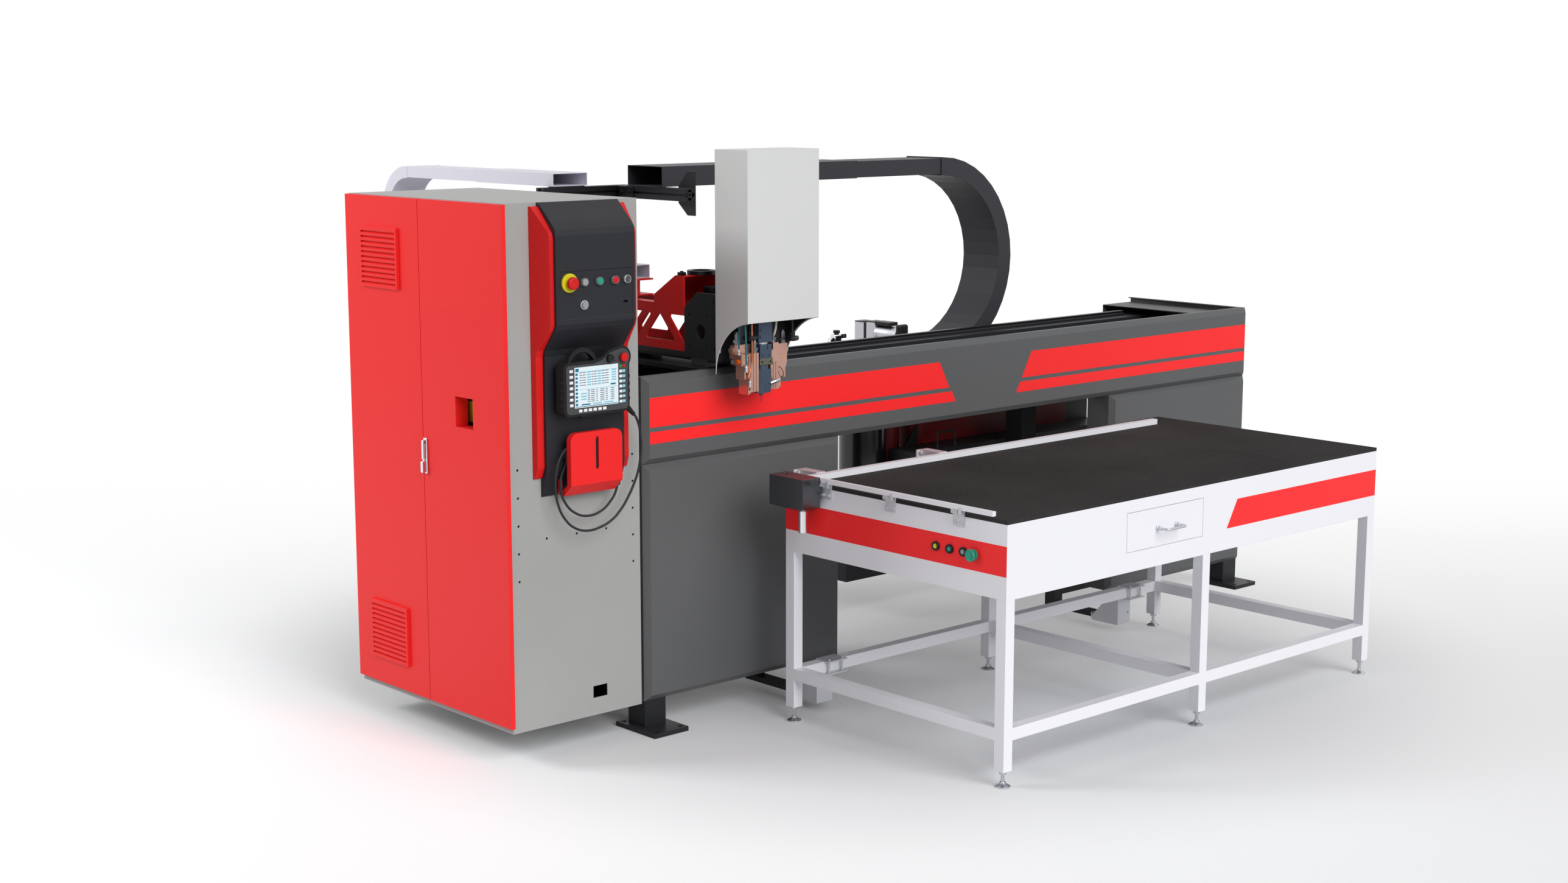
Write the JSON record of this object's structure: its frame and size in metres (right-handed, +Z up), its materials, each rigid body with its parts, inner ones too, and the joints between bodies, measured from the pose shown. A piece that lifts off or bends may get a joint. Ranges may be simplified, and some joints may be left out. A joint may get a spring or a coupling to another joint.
{
  "type": "foam gasket dispensing machine",
  "caption": "Gantry machine that pours a foam gasket: control cabinet with console and pendant, cross arm with mixing head on a floor beam, docked work table.",
  "frame": {"origin": "centre of the footprint on the floor", "axes": "+X along the beam away from the cabinet, +Y from the work table towards the beam's back, +Z up"},
  "size_m": [3.9302, 3.291, 1.95],
  "materials": {
    "red_paint": "satin",
    "cabinet_grey": "fine textured",
    "dark_cover": "satin",
    "black_paint": "satin",
    "console_black": "satin",
    "white_paint": "satin",
    "mat_rubber": "matt, grained",
    "rail_steel": "ground",
    "bright_steel": "satin",
    "yellow_plastic": "gloss",
    "red_plastic": "gloss",
    "teal_plastic": "gloss",
    "grey_plastic": "satin",
    "black_plastic": "satin",
    "pendant_grey": "satin",
    "bumper_rubber": "matt",
    "cable_rubber": "satin",
    "chain_black": "satin",
    "chain_white": "satin",
    "electrics": "satin",
    "head_white": "satin",
    "copper_alloy": "machined",
    "slate_blue": "satin",
    "aluminium": "satin",
    "profile_black": "anodised",
    "plate_steel": "ground"
  },
  "bodies": {
    "machine_base": {"base_frame": "black_paint", "foot_plates": "black_paint", "front_beam_cover": "dark_cover", "left_pedestal_cover": "dark_cover", "right_pedestal_cover": "dark_cover", "end_cover": "dark_cover", "x_rails": "rail_steel", "chain_trough": "black_paint", "cabinet_shell": "cabinet_grey", "electrics_plate": "electrics", "console_housing": "console_black", "console_sides": "red_paint", "panel_fittings": "grey_plastic", "hook_cover": "red_paint", "pendant_cable": "cable_rubber", "table_frame": "white_paint", "table_apron": "white_paint", "table_mat": "mat_rubber", "levelling_feet": "bright_steel", "guide_bars": "white_paint", "table_brackets": "aluminium", "purge_box": "bright_steel", "supply_cabinet": "red_paint", "supply_tanks": "black_paint", "pump_drive": "aluminium"},
    "rear_door": {"rear_door": "red_paint"},
    "front_door": {"front_door": "red_paint"},
    "swing_handle": {"swing_handle": "bright_steel"},
    "isolator_knob": {"isolator_knob": "yellow_plastic"},
    "console_estop": {"console_estop": "red_plastic"},
    "spare_button": {"spare_button": "grey_plastic"},
    "selector_switch": {"selector_switch": "grey_plastic"},
    "pendant": {"pendant_body": "pendant_grey", "pendant_bumper": "bumper_rubber"},
    "pendant_estop": {"pendant_estop": "red_plastic"},
    "pendant_knob": {"pendant_knob": "black_plastic"},
    "drawer": {"drawer": "white_paint"},
    "yellow_button": {"yellow_button": "yellow_plastic"},
    "green_button": {"green_button": "teal_plastic"},
    "grey_button": {"grey_button": "grey_plastic"},
    "start_button": {"start_button": "teal_plastic"},
    "carriage": {"saddle": "black_paint", "guide_blocks": "plate_steel", "chain_post": "profile_black", "x_chain_entry": "chain_black", "y_chain_upper": "chain_white"},
    "x_chain_mid": {"x_chain_middle": "chain_black"},
    "x_chain_loop": {"x_chain_bend": "chain_black"},
    "y_chain_loop": {"y_chain_bend": "chain_white"},
    "arm": {"arm_base": "aluminium", "arm_truss": "red_paint", "drive_hood": "red_paint", "y_drive": "black_plastic", "y_chain_lower": "chain_white", "head_cover": "head_white", "z_column": "aluminium"},
    "head": {"head_plate": "plate_steel", "mixing_blocks": "copper_alloy", "mixing_spindle": "slate_blue"},
    "mixer_shaft": {"mixer_shaft": "bright_steel"}
  },
  "joints": [
    {"name": "rear_door_hinge", "type": "hinge", "parent": "machine_base", "child": "rear_door", "pos_m": [-1.92215, 0.5075, 0.96], "axis": [0, 0, -1], "range_deg": [0, 110]},
    {"name": "front_door_hinge", "type": "hinge", "parent": "machine_base", "child": "front_door", "pos_m": [-1.92215, -0.4055, 0.96], "axis": [0, 0, 1], "range_deg": [0, 110]},
    {"name": "handle_turn", "type": "hinge", "parent": "front_door", "child": "swing_handle", "pos_m": [-1.95185, 0.0475, 1.008], "axis": [-1, 0, 0], "range_deg": [0, 90]},
    {"name": "isolator_turn", "type": "hinge", "parent": "machine_base", "child": "isolator_knob", "pos_m": [-1.87685, -0.178, 1.119], "axis": [1, 0, 0], "range_deg": [0, 90]},
    {"name": "console_estop_press", "type": "slide", "parent": "machine_base", "child": "console_estop", "axis": [0, 1, 0], "range_m": [0, 0.006]},
    {"name": "spare_button_press", "type": "slide", "parent": "machine_base", "child": "spare_button", "axis": [0, 1, 0], "range_m": [0, 0.003], "stiffness_N_per_m": 200},
    {"name": "selector_turn", "type": "hinge", "parent": "machine_base", "child": "selector_switch", "pos_m": [-1.52085, -0.4975, 1.552], "axis": [0, 1, 0], "range_deg": [-45, 45]},
    {"name": "pendant_lift", "type": "slide", "parent": "machine_base", "child": "pendant", "axis": [0, 0, 1], "range_m": [0, 0.01]},
    {"name": "pendant_estop_press", "type": "slide", "parent": "pendant", "child": "pendant_estop", "axis": [0, 1, 0], "range_m": [0, 0.003]},
    {"name": "pendant_knob_turn", "type": "hinge", "parent": "pendant", "child": "pendant_knob", "pos_m": [-1.59385, -0.5025, 1.304], "axis": [0, 1, 0], "range_deg": [-135, 135]},
    {"name": "drawer_slide", "type": "slide", "parent": "machine_base", "child": "drawer", "axis": [0, -1, 0], "range_m": [0, 0.35]},
    {"name": "yellow_button_press", "type": "slide", "parent": "machine_base", "child": "yellow_button", "axis": [1, 0, 0], "range_m": [0, 0.004], "stiffness_N_per_m": 200},
    {"name": "green_button_press", "type": "slide", "parent": "machine_base", "child": "green_button", "axis": [1, 0, 0], "range_m": [0, 0.004], "stiffness_N_per_m": 200},
    {"name": "grey_button_press", "type": "slide", "parent": "machine_base", "child": "grey_button", "axis": [1, 0, 0], "range_m": [0, 0.004], "stiffness_N_per_m": 200},
    {"name": "start_button_press", "type": "slide", "parent": "machine_base", "child": "start_button", "axis": [1, 0, 0], "range_m": [0, 0.005], "stiffness_N_per_m": 200},
    {"name": "x_travel", "type": "slide", "parent": "machine_base", "child": "carriage", "axis": [1, 0, 0], "range_m": [0, 1.9]},
    {"name": "x_chain_mid_follow", "type": "slide", "parent": "machine_base", "child": "x_chain_mid", "axis": [1, 0, 0], "range_m": [0, 1.425]},
    {"name": "x_chain_loop_follow", "type": "slide", "parent": "machine_base", "child": "x_chain_loop", "axis": [1, 0, 0], "range_m": [0, 0.95]},
    {"name": "y_travel", "type": "slide", "parent": "carriage", "child": "arm", "axis": [0, -1, 0], "range_m": [0, 0.95]},
    {"name": "y_chain_loop_follow", "type": "slide", "parent": "carriage", "child": "y_chain_loop", "axis": [0, -1, 0], "range_m": [0, 0.475]},
    {"name": "z_travel", "type": "slide", "parent": "arm", "child": "head", "axis": [0, 0, -1], "range_m": [0, 0.2]},
    {"name": "mixer_spin", "type": "hinge", "parent": "head", "child": "mixer_shaft", "pos_m": [-0.96285, -0.5095, 1.18], "axis": [0, 0, 1], "continuous": true}
  ],
  "couplings": [
    {"joint": "x_chain_mid_follow", "follows": "x_travel", "ratio": 0.75},
    {"joint": "x_chain_loop_follow", "follows": "x_travel", "ratio": 0.5},
    {"joint": "y_chain_loop_follow", "follows": "y_travel", "ratio": 0.5}
  ]
}
